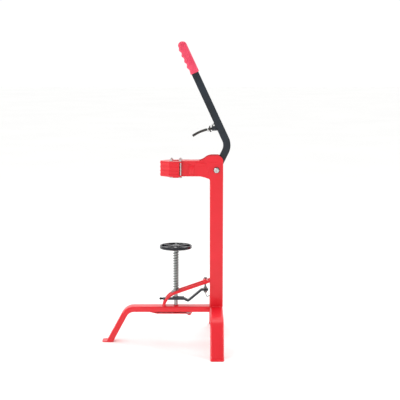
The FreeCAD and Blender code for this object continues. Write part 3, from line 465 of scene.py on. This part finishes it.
# ------------------------------------------------------------------ hand grip
@dataclass
class HandGrip:
    """The moulded grip on the lever's end."""

    length: float = 114.7 * MM
    width: float = 30 * MM
    thickness: float = 21 * MM
    swell: float = 4.0 * MM
    waist: float = 1.0 * MM
    flare: float = 1.6 * MM
    cuff: float = 0.16
    seat: float = 0.4 * MM
    welt_radius: float = 6.2 * MM
    welt_height: float = 0.9 * MM
    welt_start: float = 44 * MM
    welt_run: float = 55 * MM
    swells: int = 4
    lean: float = math.radians(24.9)
    section_round: float = 7.6 * MM
    collar_round: float = 6.0 * MM
    collar_height: float = 1.2 * MM
    collar_sink: float = 0.4 * MM
    welt_ahead: float = 0.6 * MM
    pip_radius: float = 2.6 * MM
    pip_height: float = 0.9 * MM
    pip_ahead: float = 1.5 * MM
    pip_share: float = 0.24
    stations: int = 90

    def placement(self) -> Matrix:
        """The matrix from the grip's own frame (z along it, -x to its front) to its place.

        Returns:
            The matrix, in metres.
        """
        low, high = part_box("grip")
        turn = Matrix.Rotation(-self.lean, 4, "Y")
        # the tip's highest point lies one tip radius from the tip circle's centre
        radius = self.width / 2
        centre = Vector((low.x + radius, 0, high.z - radius))
        along = turn @ UP
        root = centre - along * (self.length - radius + self.seat)
        return Matrix.Translation(root) @ turn

    def section_at(self, height: float) -> tuple[float, float, float]:
        """The grip's section at one height.

        Args:
            height: How far along the grip, from its open end.

        Returns:
            Half its width, its shift to the front and half its thickness.
        """
        half, thick = self.width / 2, self.thickness / 2
        straight = self.length - half
        shift = 0.0
        cuff = self.cuff * straight
        if height <= cuff:
            extra = self.flare * (1 - height / cuff) ** 2 - self.waist * height / cuff
            half, shift = half + extra / 2, extra / 2
        elif height <= straight:
            pitch = (straight - cuff) / self.swells
            phase = 0.5 - 0.5 * math.cos(2 * math.pi * ((straight - height) % pitch) / pitch)
            extra = self.swell * phase - self.waist
            half, shift = half + extra / 2, extra / 2
        else:
            beyond = min((height - straight) / half, 0.9995)
            half *= math.sqrt(1 - beyond ** 2)
            thick *= (1 - beyond ** 3.2) ** 0.5
        return half, shift, thick

    def build(self) -> bpy.types.Object:
        """Raise the rounded section along the grip, swell by swell.

        Returns:
            The grip's body, in its own frame.
        """
        deselect()
        bpy.ops.mesh.primitive_plane_add(size=1)
        piece = bpy.context.object
        half, shift, thick = self.section_at(0)
        edit(piece)
        bpy.ops.mesh.select_all(action="SELECT")
        bpy.ops.transform.resize(value=(2 * half, 2 * thick, 1))
        bpy.ops.mesh.bevel(offset=self.section_round, segments=7, affect="VERTICES", profile=0.5)
        bpy.ops.mesh.select_all(action="SELECT")
        height = 0.0
        for index in range(1, self.stations + 1):
            share = index / self.stations
            target = self.length * math.sin(share * math.pi / 2)
            target = min(target, self.length * 0.9992)
            if target <= height:
                continue
            new_half, new_shift, new_thick = self.section_at(target)
            bpy.ops.mesh.extrude_region_move(TRANSFORM_OT_translate={
                "value": (-(new_shift - shift), 0, target - height)})
            bpy.ops.transform.resize(value=(new_half / half, new_thick / thick, 1),
                                     center_override=(-new_shift, 0, target))
            half, shift, thick, height = new_half, new_shift, new_thick, target
        outward(piece, 40)
        return piece

    def welt(self, side: int) -> bpy.types.Object:
        """The raised loop moulded on one flat: a ring drawn out into a racetrack.

        Args:
            side: The flat's side along y, 1 or -1.

        Returns:
            The loop, in the grip's own frame.
        """
        deselect()
        bpy.ops.mesh.primitive_torus_add(major_segments=40, minor_segments=10, major_radius=self.welt_radius,
                                         minor_radius=self.welt_height, rotation=(math.pi / 2, 0, 0))
        loop = bpy.context.object
        bpy.ops.object.transform_apply(location=True, rotation=True, scale=True)
        edit(loop)
        select_faces(loop, lambda face: face.calc_center_median().z > 0)
        bpy.ops.transform.translate(value=(0, 0, self.welt_run))
        bpy.ops.object.mode_set(mode="OBJECT")
        place_mesh(loop, Matrix.Translation((-self.welt_ahead, side * self.thickness / 2, self.welt_start)))
        return loop

    def collar_ring(self) -> bpy.types.Object:
        """The dark lip where the bar enters the grip.

        Returns:
            The lip, in the grip's own frame.
        """
        deselect()
        bpy.ops.mesh.primitive_plane_add(size=1)
        piece = bpy.context.object
        edit(piece)
        bpy.ops.mesh.select_all(action="SELECT")
        bpy.ops.transform.resize(value=(self.width * 0.93, self.thickness * 0.9, 1))
        bpy.ops.mesh.bevel(offset=self.collar_round, segments=5, affect="VERTICES", profile=0.5)
        bpy.ops.mesh.select_all(action="SELECT")
        bpy.ops.mesh.extrude_region_move(TRANSFORM_OT_translate={"value": (0, 0, self.collar_height)})
        outward(piece, 40)
        place_mesh(piece, Matrix.Translation((0, 0, -self.collar_sink)))
        return piece

    def make(self) -> None:
        """Build and mount the grip."""
        deselect()
        pieces = [self.build(), self.collar_ring()]
        for side in (-1, 1):
            pieces.append(self.welt(side))
            foot = Vector((-self.pip_ahead, side * self.thickness / 2, self.pip_share * self.length))
            pieces.append(dome(foot, self.pip_radius, self.pip_height, side))
        body = joined(pieces)
        place_mesh(body, self.placement())
        finish_piece(body, "hand_grip", GRIP_RUBBER, "lever", ("grip",))


# ------------------------------------------------------------------ bottle platform
@dataclass
class BottlePlatform:
    """The moulded disc under the bottle, with its rim, ribs and hub."""

    radius: float = 55 * MM
    rim: float = 5.5 * MM
    height: float = 10 * MM
    floor: float = 3.5 * MM
    hub: float = 15.5 * MM
    ribs: int = 6
    rib_width: float = 5 * MM
    rib_flare: float = 1.7
    rib_round: float = 1.0 * MM
    rib_below_rim: float = 1.2 * MM
    bore: float = 3.0 * MM
    sink: float = 6.5 * MM
    sink_depth: float = 3.2 * MM
    lip: float = 1.2 * MM
    segments: int = 96

    def outline(self) -> list[tuple[float, float]]:
        """The turned outline, as (radius, height) pairs from the axis over the top and back.

        Returns:
            The pairs, in metres.
        """
        top, rim = self.height, self.radius - self.rim
        lip, seat = self.lip, self.height - self.sink_depth
        return [(self.bore, seat), (self.sink, seat), (self.sink, top - 0.4 * MM),
                (self.sink + 0.5 * MM, top), (self.hub - lip, top), (self.hub - 0.3 * MM, top - lip * 0.5),
                (self.hub, top - lip), (self.hub + 1 * MM, self.floor + 0.6 * MM),
                (self.hub + 2 * MM, self.floor), (rim - 2 * MM, self.floor),
                (rim - 0.8 * MM, self.floor + 0.8 * MM),
                (rim, top - lip), (rim + 0.4 * MM, top - 0.3 * MM), (rim + lip, top), (self.radius - lip, top),
                (self.radius - 0.35 * MM, top - 0.35 * MM), (self.radius, top - lip), (self.radius, lip),
                (self.radius - lip, 0), (self.bore, 0)]

    def build(self) -> bpy.types.Object:
        """Turn the outline about the axis and set the ribs in.

        Returns:
            The disc, in its own frame.
        """
        deselect()
        bpy.ops.mesh.primitive_plane_add(size=1 * MM)
        disc = bpy.context.object
        edit(disc)
        bpy.ops.mesh.select_all(action="SELECT")
        bpy.ops.mesh.delete(type="FACE")
        mesh = bmesh.from_edit_mesh(disc.data)
        for vertex in list(mesh.verts):
            mesh.verts.remove(vertex)
        points = self.outline()
        vertices = [mesh.verts.new((radius, 0, height)) for radius, height in points]
        for first, second in zip(vertices, vertices[1:] + vertices[:1]):
            mesh.edges.new((first, second))
        bmesh.update_edit_mesh(disc.data)
        bpy.ops.mesh.select_all(action="SELECT")
        bpy.ops.mesh.spin(steps=self.segments, angle=2 * math.pi, center=(0, 0, 0), axis=(0, 0, 1))
        bpy.ops.mesh.select_all(action="SELECT")
        bpy.ops.mesh.remove_doubles(threshold=0.00002)
        bpy.ops.object.mode_set(mode="OBJECT")
        pieces = [disc]
        for index in range(self.ribs):
            pieces.append(self.rib(2 * math.pi * (index + 0.5) / self.ribs))
        whole = joined(pieces)
        outward(whole, 35)
        return whole

    def rib(self, angle: float) -> bpy.types.Object:
        """One rib from the hub to the rim, rounded on top and flared at both ends.

        Args:
            angle: Its turn about the disc's axis, in radians.

        Returns:
            The rib, in the disc's own frame.
        """
        deselect()
        inner, outer = self.hub - 0.5 * MM, self.radius - self.rim + 0.5 * MM
        bpy.ops.mesh.primitive_cube_add(size=1)
        piece = bpy.context.object
        edit(piece)
        bpy.ops.mesh.select_all(action="SELECT")
        top = self.height - self.rib_below_rim
        bpy.ops.transform.resize(value=(outer - inner, self.rib_width, top - self.floor))
        bpy.ops.transform.translate(value=((outer + inner) / 2, 0, (top + self.floor) / 2))
        select_faces(piece, lambda f: abs(f.normal.x) > 0.9)
        bpy.ops.transform.resize(value=(1, self.rib_flare, 1), center_override=(0, 0, 0))
        select_faces(piece, lambda f: f.normal.z > 0.9)
        bpy.ops.mesh.bevel(offset=self.rib_round, segments=3, affect="EDGES")
        bpy.ops.object.mode_set(mode="OBJECT")
        place_mesh(piece, Matrix.Rotation(angle, 4, "Z"))
        return piece

    def make(self) -> None:
        """Build and mount the disc."""
        low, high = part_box("platform_disc")
        centre = (low + high) / 2
        disc = self.build()
        place_mesh(disc, Matrix.Translation((centre.x, centre.y, low.z)))
        finish_piece(disc, "bottle_platform", BLACK_NYLON, "platform_plate", ("platform_disc",))


@dataclass
class LiftSpring:
    """The compression spring under the platform, with closed ends."""

    mean_radius: float = 8.8 * MM
    wire: float = 3.2 * MM
    turns: int = 16
    travel: float = 88 * MM
    wire_sides: int = 12
    steps_per_turn: int = 28

    def make(self) -> None:
        """Wind the wire between the spring's seats and give the spring a mesh of its own."""
        low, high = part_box("platform_spring")
        centre = (low + high) / 2
        length = high.z - low.z - self.wire
        deselect()
        bpy.ops.mesh.primitive_circle_add(vertices=self.wire_sides, radius=self.wire / 2, fill_type="NOTHING",
                                          rotation=(math.pi / 2, 0, 0), location=(self.mean_radius, 0, 0))
        spring = bpy.context.object
        bpy.ops.object.transform_apply(location=True, rotation=True, scale=True)
        apply_modifier(spring, "SCREW", axis="Z", angle=2 * math.pi * self.turns, screw_offset=length,
                       steps=self.steps_per_turn * self.turns, render_steps=self.steps_per_turn * self.turns,
                       iterations=1,
                       use_merge_vertices=False, use_smooth_shade=True)
        edit(spring)
        bpy.ops.mesh.select_mode(type="EDGE")
        bpy.ops.mesh.select_non_manifold(extend=False, use_wire=False, use_multi_face=False,
                                         use_non_contiguous=False, use_verts=False)
        bpy.ops.mesh.fill_holes(sides=0)
        outward(spring, 60)
        place_mesh(spring, Matrix.Translation((centre.x, centre.y, low.z + self.wire / 2)))
        finish_piece(spring, "lift_spring", SPRING_WIRE, "stand", ("platform_spring",))
        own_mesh(spring)


# ------------------------------------------------------------------ plunger
@dataclass
class Plunger:
    """The curved threaded rod and its wing nut."""

    radius: float = 140 * MM
    bolt: float = 9.0 * MM
    pitch: float = 2.0 * MM
    root: float = math.radians(2.24)
    tip: float = math.radians(35.2)
    nut_at: float = math.radians(9.33)
    thread_depth: float = 0.55 * MM
    thread_sides: int = 20
    hub_wide: float = 6.8 * MM
    hub_narrow: float = 5.6 * MM
    hub_length: float = 5.6 * MM
    hub_rim: float = 1.2 * MM
    nut_round: float = 0.5 * MM
    ear_root: tuple[float, float, float] = (5.0 * MM, 1.5 * MM, 2.6 * MM)
    ear_out: float = 5.2 * MM
    pivot: Vector = field(default_factory=lambda: joint_place("lever_pull"))

    def frame_at(self, angle: float) -> Matrix:
        """A frame on the plunger's arc: x along the arc, y towards the pivot.

        Args:
            angle: The place on the arc, in radians from upright.

        Returns:
            The frame's matrix.
        """
        along = Vector((-math.cos(angle), 0, -math.sin(angle)))
        inward = Vector((math.sin(angle), 0, -math.cos(angle)))
        third = along.cross(inward)
        place = self.pivot - inward * self.radius
        turn = Matrix((along, inward, third)).transposed().to_4x4()
        return Matrix.Translation(place) @ turn

    def rod(self) -> None:
        """Cut a thread along a straight rod, then bend the rod to its arc."""
        length = self.radius * (self.tip - self.root)
        depth = self.thread_depth
        outer = self.bolt / 2
        deselect()
        bpy.ops.mesh.primitive_plane_add(size=1 * MM)
        rod = bpy.context.object
        edit(rod)
        mesh = bmesh.from_edit_mesh(rod.data)
        for vertex in list(mesh.verts):
            mesh.verts.remove(vertex)
        steps = [(0.0, outer - depth), (0.38, outer), (0.56, outer), (0.94, outer - depth), (1.0, outer - depth)]
        vertices = [mesh.verts.new((share * self.pitch, 0, radius)) for share, radius in steps]
        for first, second in zip(vertices, vertices[1:]):
            mesh.edges.new((first, second))
        bmesh.update_edit_mesh(rod.data)
        bpy.ops.object.mode_set(mode="OBJECT")
        turns = int(length / self.pitch) + 3
        apply_modifier(rod, "SCREW", axis="X", angle=2 * math.pi, screw_offset=self.pitch,
                       steps=self.thread_sides, render_steps=self.thread_sides, iterations=turns,
                       use_merge_vertices=True, merge_threshold=MERGE_DISTANCE,
                       use_smooth_shade=True)
        place_mesh(rod, Matrix.Translation((-1.5 * self.pitch, 0, 0)))
        for place, side in ((0.0, -1), (length, 1)):
            edit(rod)
            bpy.ops.mesh.select_all(action="SELECT")
            bpy.ops.mesh.bisect(plane_co=(place, 0, 0), plane_no=(side, 0, 0), use_fill=True, clear_outer=True)
            bpy.ops.object.mode_set(mode="OBJECT")
        apply_modifier(rod, "SIMPLE_DEFORM", deform_method="BEND", deform_axis="Z", angle=self.tip - self.root)
        outward(rod, 30)
        place_mesh(rod, self.frame_at(self.root))
        finish_piece(rod, "plunger_thread", DARK_STEEL, "plunger", ("plunger_rod",))

    def wing(self, side: int) -> bpy.types.Object:
        """One ear of the wing nut: a flat root, a waist and a rounded end.

        Args:
            side: The ear's side along y, 1 or -1.

        Returns:
            The ear, in the nut's own frame.
        """
        deselect()
        bpy.ops.mesh.primitive_cube_add(size=1)
        ear = bpy.context.object
        edit(ear)
        bpy.ops.mesh.select_all(action="SELECT")
        bpy.ops.transform.resize(value=self.ear_root)
        bpy.ops.transform.translate(value=(0, self.ear_out, 0))
        select_faces(ear, lambda f: f.normal.y > 0.9)
        for move_x, move_y, wide in ((-0.7, 1.8, 0.86), (-1.0, 1.8, 1.22), (-0.4, 1.2, 0.8)):
            bpy.ops.mesh.extrude_region_move(TRANSFORM_OT_translate={"value": (move_x * MM, move_y * MM, 0)})
            bpy.ops.transform.resize(value=(wide, 1, 0.94))
        bpy.ops.object.mode_set(mode="OBJECT")
        apply_modifier(ear, "BEVEL", width=self.nut_round, segments=2)
        if side < 0:
            place_mesh(ear, Matrix.Scale(-1, 4, (0, 1, 0)))
        return ear

    def wing_nut(self) -> None:
        """The hub, left solid around the rod, and its two ears."""
        deselect()
        bpy.ops.mesh.primitive_cone_add(vertices=32, radius1=self.hub_wide, radius2=self.hub_narrow,
                                        depth=self.hub_length, rotation=(0, math.pi / 2, 0))
        hub = bpy.context.object
        bpy.ops.object.transform_apply(location=True, rotation=True, scale=True)
        edit(hub)
        select_faces(hub, lambda f: abs(f.normal.x) > 0.9)
        bpy.ops.mesh.inset(thickness=self.hub_rim)
        bpy.ops.object.mode_set(mode="OBJECT")
        apply_modifier(hub, "BEVEL", width=self.nut_round, segments=2, limit_method="ANGLE")
        nut = joined([hub, self.wing(1), self.wing(-1)])
        outward(nut, 40)
        place_mesh(nut, self.frame_at(self.nut_at))
        finish_piece(nut, "depth_wing_nut", DARK_STEEL, "depth_nut", ("wing_nut",))

    def make(self) -> None:
        """Build both pieces."""
        self.rod()
        self.wing_nut()


# ------------------------------------------------------------------ carried parts
@dataclass
class CarriedParts:
    """The CAD pieces that keep their own shape and take a finish."""

    # the pivot washers take the dark steel finish as painted shade, for the dark ring of shade round the pivot
    # bolt's head
    special: dict[str, Finish] = field(default_factory=lambda: {
        "hanger_bolt": DULL_ZINC, "hanger_nuts": DULL_ZINC, "catch_spring": DARK_STEEL,
        "platform_screw": DARK_STEEL, "pivot_washers": DARK_STEEL, "guide_plate": DULL_ZINC})

    def make(self) -> None:
        """Dress every CAD node from its material slot."""
        for part in frame["record"]["subparts"]:
            node = frame["nodes"][part["node"]]
            finish = self.special.get(part["node"], SLOT_FINISHES[part["material_slot"]])
            node.data.materials.clear()
            node.data.materials.append(finish.material())
            LOG.info("%s: %s", part["node"], finish.name)


# ------------------------------------------------------------------ pressed and welded details
@dataclass(frozen=True)
class Patch:
    """A raised patch on a side plate: x and z ranges in mm from the column's axis and the floor."""

    x: tuple[float, float]
    z: tuple[float, float]
    proud_mm: float


@dataclass
class HeadPressings:
    """What the press and the welder leave on the head: beads, a panel, seams, spots and bands."""

    side_face: float = 22.5 * MM
    proud: float = 1.3 * MM
    nose_half: float = 6.0 * MM
    spot_radius: float = 2.4 * MM
    spot_height: float = 1.3 * MM
    spots: int = 6
    band_round: float = 0.6 * MM
    rim_height: float = 4 * MM
    rib_starts: tuple[float, float] = (12.5 * MM, 26 * MM)
    rib_height: float = 3 * MM
    bead: Patch = Patch((-71, -38), (614.5, 623.5), 2.6)
    panel: Patch = Patch((-95, -76), (585, 615), 2.2)
    front_seam: Patch = Patch((-118, -97), (620.5, 623), 1.2)
    rear_seam: Patch = Patch((-22, 1), (620, 622.5), 1.2)
    axis_x: float = field(default_factory=lambda: joint_place("lever_pull").x)

    def side_block(self, side: int, patch: Patch) -> bpy.types.Object:
        """Raise one patch on a side plate.

        Args:
            side: The plate's side along y, 1 or -1.
            patch: The patch.

        Returns:
            The patch's rounded block, half sunk in the plate.
        """
        (front, rear), (low, high), proud = patch.x, patch.z, patch.proud_mm * MM
        centre = Vector((self.axis_x + (front + rear) / 2 * MM, side * self.side_face, (low + high) / 2 * MM))
        return rounded_block(((rear - front) * MM, 2 * proud, (high - low) * MM), centre, proud * 0.95)

    def side_plate(self, side: int) -> None:
        """The bead, the panel, the seams and the spot welds of one side plate.

        Args:
            side: The plate's side along y, 1 or -1.
        """
        pieces = [self.side_block(side, patch)
                  for patch in (self.bead, self.panel, self.front_seam, self.rear_seam)]
        for index in range(self.spots):
            lift = (587 + 6.6 * index) * MM
            ahead = (24 + 3.5 * (index % 2)) * MM
            foot = Vector((self.axis_x - ahead, side * self.side_face, lift))
            pieces.append(dome(foot, self.spot_radius, self.spot_height, side))
        name = "side_pressings_near" if side < 0 else "side_pressings_far"
        whole = joined(pieces)
        outward(whole, 40)
        finish_piece(whole, name, RED_ENAMEL, "stand")

    def band(self, low_z: float, high_z: float) -> list[bpy.types.Object]:
        """One raised band around the housing's nose and sides.

        Args:
            low_z: The band's underside.
            high_z: Its top.

        Returns:
            Its blocks, from the nose to both sides.
        """
        low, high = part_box("jaw_housing")
        half = high.y
        lean = half - self.nose_half
        shoulder = low.x + lean
        depth, height, z = 2 * self.proud, high_z - low_z, (low_z + high_z) / 2
        blocks = [rounded_block((depth, 2 * self.nose_half, height), Vector((low.x, 0, z)), self.band_round)]
        for side in (-1, 1):
            middle = Vector(((low.x + shoulder) / 2, side * (self.nose_half + half) / 2, z))
            slant = lean * math.sqrt(2) + self.band_round
            blocks.append(rounded_block((slant, depth, height), middle, self.band_round, side * math.pi / 4))
            run = high.x - shoulder
            middle = Vector((shoulder + run / 2, side * half, z))
            blocks.append(rounded_block((run, depth, height), middle, self.band_round))
        return blocks

    def housing(self) -> None:
        """The rims and ribs around the jaw housing."""
        low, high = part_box("jaw_housing")
        ribs = [(low.z + start, low.z + start + self.rib_height) for start in self.rib_starts]
        rows = [(low.z, low.z + self.rim_height), *ribs, (high.z - self.rim_height, high.z)]
        pieces = [block for row in rows for block in self.band(*row)]
        whole = joined(pieces)
        outward(whole, 40)
        finish_piece(whole, "housing_bands", RED_ENAMEL, "stand")

    def make(self) -> None:
        """Build the details of the whole head."""
        for side in (-1, 1):
            self.side_plate(side)
        self.housing()


@dataclass
class WeldBeads:
    """The weld beads where the tubes meet, painted over."""

    radius: float = 1.7 * MM
    corner: float = 3.5 * MM
    foot_half: float = 14 * MM
    foot_inset: float = 1.0 * MM

    def make(self) -> None:
        """Lay the beads around the column's foot and along the foot plates."""
        column_low, column_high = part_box("column")
        leg_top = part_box("front_leg")[1].z
        left, right = column_low.x, column_high.x
        near, far = column_low.y, column_high.y
        inset, half = self.corner, self.foot_half
        runs = [(Vector((left + inset, near, leg_top)), Vector((right - inset, near, leg_top))),
                (Vector((left + inset, far, leg_top)), Vector((right - inset, far, leg_top))),
                (Vector((left, near + inset, leg_top)), Vector((left, far - inset, leg_top)))]
        for foot in ("front_foot", "rear_foot_left", "rear_foot_right"):
            low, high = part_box(foot)
            middle = (low + high) / 2
            if foot == "front_foot":
                place = high.x - self.foot_inset
                runs.append((Vector((place, -half, high.z)), Vector((place, half, high.z))))
            else:
                side = 1 if middle.y > 0 else -1
                place = (low.y if side > 0 else high.y) + side * self.foot_inset
                runs.append((Vector((middle.x - half, place, high.z)), Vector((middle.x + half, place, high.z))))
        whole = joined([weld_line(start, end, self.radius) for start, end in runs])
        outward(whole, 50)
        finish_piece(whole, "weld_beads", RED_ENAMEL, "stand")


@dataclass
class PivotHead:
    """The dished hexagon head of the pivot bolt."""

    head_radius: float = 7.4 * MM
    head_height: float = 5 * MM
    rim: float = 1.3 * MM
    rise: float = 0.9 * MM
    dish_inset: float = 2.2 * MM
    dish: float = 1.2 * MM
    edge_round: float = 0.4 * MM
    seat: float = 1.2 * MM

    def make(self) -> None:
        """Build the head over the bolt's near end."""
        low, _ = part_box("pivot_bolt")
        pivot = joint_place("lever_pull")
        quarter = Matrix.Rotation(math.pi / 2, 4, "X")
        deselect()
        bpy.ops.mesh.primitive_cylinder_add(vertices=6, radius=self.head_radius, depth=self.head_height)
        head = bpy.context.object
        edit(head)
        select_faces(head, lambda face: face.normal.z > 0.9)
        bpy.ops.mesh.inset(thickness=self.rim)
        bpy.ops.transform.translate(value=(0, 0, self.rise))
        bpy.ops.mesh.inset(thickness=self.dish_inset)
        bpy.ops.transform.translate(value=(0, 0, -self.dish))
        bpy.ops.object.mode_set(mode="OBJECT")
        apply_modifier(head, "BEVEL", width=self.edge_round, segments=2, limit_method="ANGLE")
        outward(head, 35)
        place_mesh(head, Matrix.Translation((pivot.x, low.y + self.seat, pivot.z)) @ quarter)
        finish_piece(head, "pivot_bolt_head", ZINC, "stand")


# ------------------------------------------------------------------ studio
@dataclass(frozen=True)
class AreaLight:
    """A square area light: its place, what it faces, its side in metres and its watts."""

    name: str
    place: tuple[float, float, float]
    aim: tuple[float, float, float]
    size: float
    power: float


@dataclass
class Studio:
    """The pale floor, the soft lights and the camera."""

    sensor_mm: float = 36.0
    lens_mm: float = 108.0
    camera_pitch: float = math.radians(7.9)
    camera_place: Vector = field(default_factory=lambda: Vector((0.11715, -4.061, 1.056)))
    floor_size: float = 40.0
    lights: tuple[AreaLight, ...] = (
        AreaLight("key", (-1.7, -2.7, 1.9), (0, 0, 0.5), 0.9, 22),
        AreaLight("left strip", (-2.4, -0.9, 1.4), (0, -0.2, 0.2), 0.6, 16),
        AreaLight("right strip", (2.4, -0.9, 1.4), (0, -0.2, 0.2), 0.6, 16),
        AreaLight("top", (0, 0.2, 3.2), (0, 0, 0.5), 2.0, 9))
    sun_tilt: float = math.radians(20)
    sun_strength: float = 0.72

    def floor(self) -> None:
        """A broad, flat, pale floor."""
        deselect()
        bpy.ops.mesh.primitive_plane_add(size=self.floor_size, location=(0, 0, -0.0005))
        floor = bpy.context.object
        floor.name = "studio_floor"
        bpy.ops.object.transform_apply(location=True, rotation=True, scale=True)
        floor.data.materials.append(PALE_FLOOR.material())

    def light(self, lamp: AreaLight) -> None:
        """Set up one area light that points at its aim.

        Args:
            lamp: The light.
        """
        data = bpy.data.lights.new(lamp.name, "AREA")
        data.shape = "SQUARE"
        data.size = lamp.size
        data.energy = lamp.power
        holder = bpy.data.objects.new(lamp.name, data)
        bpy.context.scene.collection.objects.link(holder)
        place = Vector(lamp.place)
        holder.location = place
        holder.rotation_euler = (Vector(lamp.aim) - place).to_track_quat("-Z", "Y").to_euler()

    def sun(self) -> None:
        """A soft even light from above and a little behind, so that the floor stays pale."""
        data = bpy.data.lights.new("wash", "SUN")
        data.energy = self.sun_strength
        data.angle = math.radians(60)
        lamp = bpy.data.objects.new("wash", data)
        bpy.context.scene.collection.objects.link(lamp)
        lamp.rotation_euler = (-self.sun_tilt, 0, 0)

    def world(self) -> None:
        """A white surround, brighter to the rear and overhead."""
        world = bpy.data.worlds.new("studio_surround")
        bpy.context.scene.world = world
        world.use_nodes = True
        tree = world.node_tree
        tree.nodes.clear()
        direction = add_node(tree, "ShaderNodeTexCoord").outputs["Generated"]
        axes = add_node(tree, "ShaderNodeSeparateXYZ", links={"Vector": direction})
        rear = add_node(tree, "ShaderNodeMapRange",
                        {"From Min": -0.1, "From Max": 0.75, "To Min": 0.3, "To Max": 1.03},
                        {"Value": axes.outputs["Y"]})
        high = add_node(tree, "ShaderNodeMapRange",
                        {"From Min": 0.25, "From Max": 1.0, "To Min": 0.0, "To Max": 0.5},
                        {"Value": axes.outputs["Z"]})
        total = add_node(tree, "ShaderNodeMath", {"operation": "ADD"},
                         {0: rear.outputs["Result"], 1: high.outputs["Result"]})
        back = add_node(tree, "ShaderNodeBackground", {"Color": linear("#FFFFFF")},
                        {"Strength": total.outputs["Value"]})
        add_node(tree, "ShaderNodeOutputWorld", links={"Surface": back.outputs["Background"]})

    def camera(self) -> None:
        """The camera, level in roll and tipped down a little."""
        data = bpy.data.cameras.new("view")
        data.sensor_width = self.sensor_mm
        data.lens = self.lens_mm
        camera = bpy.data.objects.new("view", data)
        bpy.context.scene.collection.objects.link(camera)
        camera.location = self.camera_place
        camera.rotation_euler = (math.pi / 2 - self.camera_pitch, 0, 0)
        bpy.context.scene.camera = camera

    def make(self) -> None:
        """Set up the whole studio."""
        self.floor()
        self.world()
        for lamp in self.lights:
            self.light(lamp)
        self.sun()
        self.camera()
        bpy.context.scene.view_settings.view_transform = "Standard"


def main() -> None:
    """Build the studio and every sub-assembly in order."""
    logging.basicConfig(level=logging.INFO, format="%(message)s")
    for assembly in (Studio(), CarriedParts(), HandGrip(), BottlePlatform(), LiftSpring(), Plunger(),
                     HeadPressings(), WeldBeads(), PivotHead()):
        LOG.info("building %s", type(assembly).__name__)
        assembly.make()


if __name__ == "__main__":
    main()
